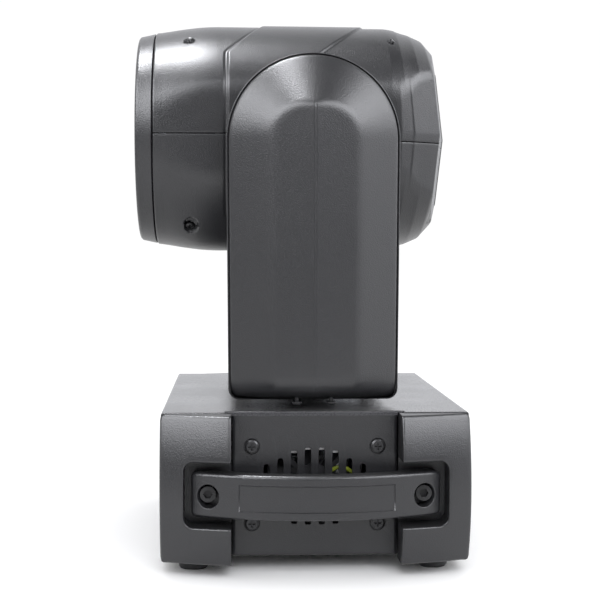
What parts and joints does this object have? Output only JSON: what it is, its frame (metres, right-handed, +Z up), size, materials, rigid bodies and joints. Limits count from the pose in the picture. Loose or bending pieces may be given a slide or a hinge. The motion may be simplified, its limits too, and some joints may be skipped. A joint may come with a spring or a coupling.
{
  "type": "moving head light",
  "caption": "Moving head spot light: a head that tilts between two yoke arms, which pan on a box base with end handles.",
  "frame": {"origin": "on the pan axis, at the plane that the four feet stand on", "axes": "+Z up along the pan axis, -X the way the lens points at rest, -Y the left side with a handle"},
  "size_m": [0.218, 0.318, 0.365],
  "materials": {
    "cover_plastic": "fine moulded texture, satin charcoal",
    "black_plastic": "moulded black",
    "painted_panel": "charcoal powder coat",
    "foot_rubber": "moulded rubber",
    "belt_rubber": "toothed belt rubber",
    "black_screw": "black oxide",
    "zinc_steel": "zinc plated sheet",
    "motor_steel": "black enamel with bright end caps",
    "pulley_alloy": "machined",
    "lens_glass": "coated optical glass",
    "window_plastic": "polished dark window",
    "circuit_board": "solder mask green"
  },
  "bodies": {
    "base": {"base_tray": "painted_panel", "base_feet": "foot_rubber", "base_screws": "black_screw", "base_top_cover": "cover_plastic", "front_panel": "painted_panel", "rear_panel": "painted_panel", "left_end_cover": "cover_plastic", "right_end_cover": "cover_plastic", "left_vent_panel": "cover_plastic", "right_vent_panel": "cover_plastic", "left_handle": "cover_plastic", "right_handle": "cover_plastic", "handle_bolts": "black_screw", "display_window": "window_plastic", "power_inlet": "black_plastic", "dmx_input": "black_plastic", "dmx_output": "black_plastic", "power_supply": "zinc_steel", "control_board": "circuit_board", "pan_bridge": "zinc_steel", "pan_bearing": "zinc_steel", "pan_motor": "motor_steel", "pan_belt": "belt_rubber", "base_fan": "black_plastic"},
    "yoke": {"pan_shaft": "zinc_steel", "pan_pulley": "pulley_alloy", "yoke_frame": "zinc_steel", "yoke_base_cover": "cover_plastic", "left_arm_inner_cover": "cover_plastic", "left_arm_outer_cover": "cover_plastic", "right_arm_inner_cover": "cover_plastic", "right_arm_outer_cover": "cover_plastic", "tilt_motor": "motor_steel", "tilt_belt": "belt_rubber", "tilt_bearings": "zinc_steel", "yoke_screws": "black_screw"},
    "head": {"tilt_shafts": "zinc_steel", "tilt_pulley": "pulley_alloy", "head_chassis": "zinc_steel", "upper_head_shell": "cover_plastic", "lower_head_shell": "cover_plastic", "front_ring": "cover_plastic", "front_lens": "lens_glass", "led_module": "pulley_alloy", "heatsink": "pulley_alloy", "head_fan": "black_plastic", "wheel_motors": "motor_steel", "focus_motor": "motor_steel", "head_screws": "black_screw"},
    "pan_motor_pulley": {"pan_motor_pulley": "pulley_alloy"},
    "base_fan_rotor": {"base_fan_rotor": "black_plastic"},
    "tilt_motor_pulley": {"tilt_motor_pulley": "pulley_alloy"},
    "head_fan_rotor": {"head_fan_rotor": "black_plastic"},
    "colour_wheel": {"colour_wheel": "lens_glass"},
    "gobo_wheel": {"gobo_wheel": "pulley_alloy"},
    "focus_carriage": {"focus_carriage": "lens_glass"},
    "menu_button": {"menu_button": "black_plastic"},
    "down_button": {"down_button": "black_plastic"},
    "up_button": {"up_button": "black_plastic"},
    "enter_button": {"enter_button": "black_plastic"}
  },
  "joints": [
    {"name": "pan", "type": "hinge", "parent": "base", "child": "yoke", "pos_m": [0, 0, 0.05], "axis": [0, 0, 1], "range_deg": [-270, 270]},
    {"name": "tilt", "type": "hinge", "parent": "yoke", "child": "head", "pos_m": [0, 0, 0.284], "axis": [0, 1, 0], "range_deg": [-25, 205]},
    {"name": "pan_motor_turn", "type": "hinge", "parent": "base", "child": "pan_motor_pulley", "pos_m": [-0.057, 0, 0.06], "axis": [0, 0, 1], "range_deg": [-1006, 1006]},
    {"name": "tilt_motor_turn", "type": "hinge", "parent": "yoke", "child": "tilt_motor_pulley", "pos_m": [0, -0.1, 0.164], "axis": [0, 1, 0], "range_deg": [-78, 638]},
    {"name": "colour_wheel_turn", "type": "hinge", "parent": "head", "child": "colour_wheel", "pos_m": [-0.005, -0.025, 0.284], "axis": [1, 0, 0], "continuous": true},
    {"name": "gobo_wheel_turn", "type": "hinge", "parent": "head", "child": "gobo_wheel", "pos_m": [-0.012, 0.025, 0.284], "axis": [1, 0, 0], "continuous": true},
    {"name": "focus_slide", "type": "slide", "parent": "head", "child": "focus_carriage", "axis": [1, 0, 0], "range_m": [-0.022, 0.022]},
    {"name": "head_fan_turn", "type": "hinge", "parent": "head", "child": "head_fan_rotor", "pos_m": [0.07, 0, 0.284], "axis": [1, 0, 0], "continuous": true},
    {"name": "base_fan_turn", "type": "hinge", "parent": "base", "child": "base_fan_rotor", "pos_m": [0, -0.11, 0.055], "axis": [0, 1, 0], "continuous": true},
    {"name": "menu_button_press", "type": "slide", "parent": "base", "child": "menu_button", "axis": [1, 0, 0], "range_m": [0, 0.001], "stiffness_N_per_m": 300},
    {"name": "down_button_press", "type": "slide", "parent": "base", "child": "down_button", "axis": [1, 0, 0], "range_m": [0, 0.001], "stiffness_N_per_m": 300},
    {"name": "up_button_press", "type": "slide", "parent": "base", "child": "up_button", "axis": [1, 0, 0], "range_m": [0, 0.001], "stiffness_N_per_m": 300},
    {"name": "enter_button_press", "type": "slide", "parent": "base", "child": "enter_button", "axis": [1, 0, 0], "range_m": [0, 0.001], "stiffness_N_per_m": 300}
  ],
  "couplings": [
    {"joint": "pan_motor_turn", "follows": "pan", "ratio": 3.7222},
    {"joint": "tilt_motor_turn", "follows": "tilt", "ratio": 3.1111}
  ]
}
